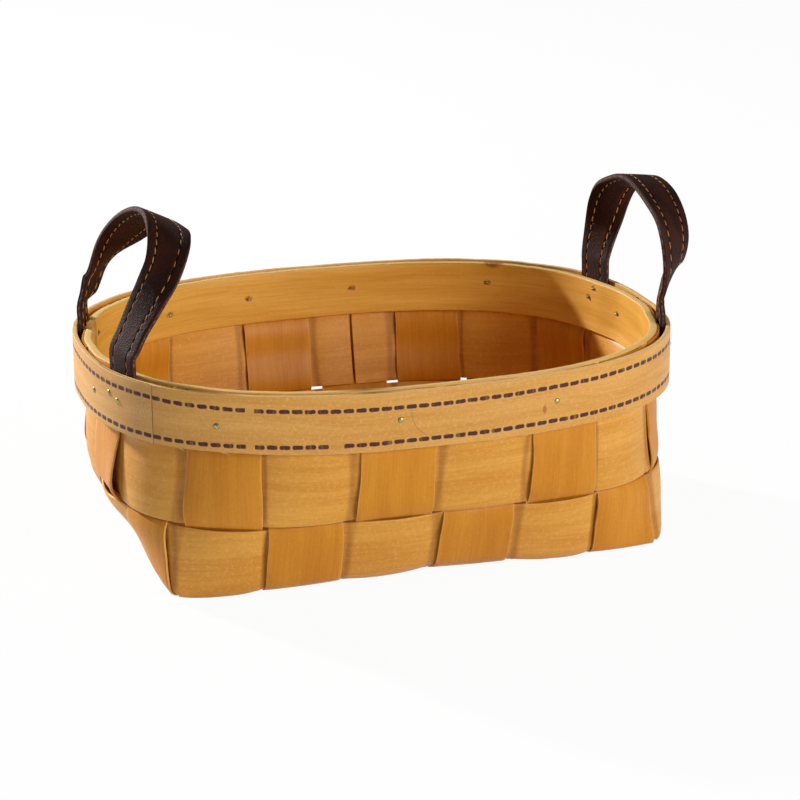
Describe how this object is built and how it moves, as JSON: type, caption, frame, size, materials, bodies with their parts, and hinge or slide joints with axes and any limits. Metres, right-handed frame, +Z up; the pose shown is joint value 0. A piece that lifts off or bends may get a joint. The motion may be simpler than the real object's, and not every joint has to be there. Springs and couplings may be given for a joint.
{
  "type": "storage basket",
  "caption": "Rounded oblong storage basket of plain-woven wood strips between two bentwood hoops, with a leather strap handle at each end.",
  "frame": {"origin": "on the table under the middle of the floor", "axes": "+X along the length to the right handle, +Y to the back, +Z up"},
  "size_m": [0.2281, 0.1806, 0.1368],
  "materials": {
    "cross_wood": "thin varnished wood strip, grain along the strip, satin",
    "long_wood": "thin varnished wood strip, grain along the strip, satin",
    "weaver_wood": "thin varnished wood strip, grain round the basket, satin",
    "outer_hoop_wood": "bent wood band, light tan, satin, two printed rows of dark dashes",
    "inner_hoop_wood": "bent wood band, yellow, satin",
    "leather": "dark brown grained leather strap, two rows of tan stitching",
    "brass": "small brass-plated nails, slightly tarnished"
  },
  "bodies": {
    "basket": {"cross_strip_1": "cross_wood", "cross_strip_2": "cross_wood", "cross_strip_3": "cross_wood", "cross_strip_4": "cross_wood", "cross_strip_5": "cross_wood", "cross_strip_6": "cross_wood", "long_strip_1": "long_wood", "long_strip_2": "long_wood", "long_strip_3": "long_wood", "long_strip_4": "long_wood", "lower_weaver": "weaver_wood", "upper_weaver": "weaver_wood", "outer_hoop": "outer_hoop_wood", "inner_hoop": "inner_hoop_wood", "left_handle_front_foot": "leather", "left_handle_rear_foot": "leather", "right_handle_front_foot": "leather", "right_handle_rear_foot": "leather", "nail_1": "brass", "nail_2": "brass", "nail_3": "brass", "nail_4": "brass", "nail_5": "brass", "nail_6": "brass", "nail_7": "brass", "nail_8": "brass", "nail_9": "brass", "nail_10": "brass", "nail_11": "brass", "nail_12": "brass", "nail_13": "brass", "nail_14": "brass", "nail_15": "brass", "nail_16": "brass", "nail_17": "brass"},
    "left_handle": {"left_handle_loop": "leather"},
    "right_handle": {"right_handle_loop": "leather"}
  },
  "joints": [
    {"name": "left_handle_bend", "type": "hinge", "parent": "basket", "child": "left_handle", "pos_m": [-0.10412, -0.001, 0.08715], "axis": [-0.0095, 1, 0], "range_deg": [-111, 59], "stiffness_Nm_per_rad": 0.03},
    {"name": "right_handle_bend", "type": "hinge", "parent": "basket", "child": "right_handle", "pos_m": [0.10515, 0.0012, 0.08715], "axis": [-0.0108, 0.9999, 0], "range_deg": [-83, 86], "stiffness_Nm_per_rad": 0.03}
  ]
}
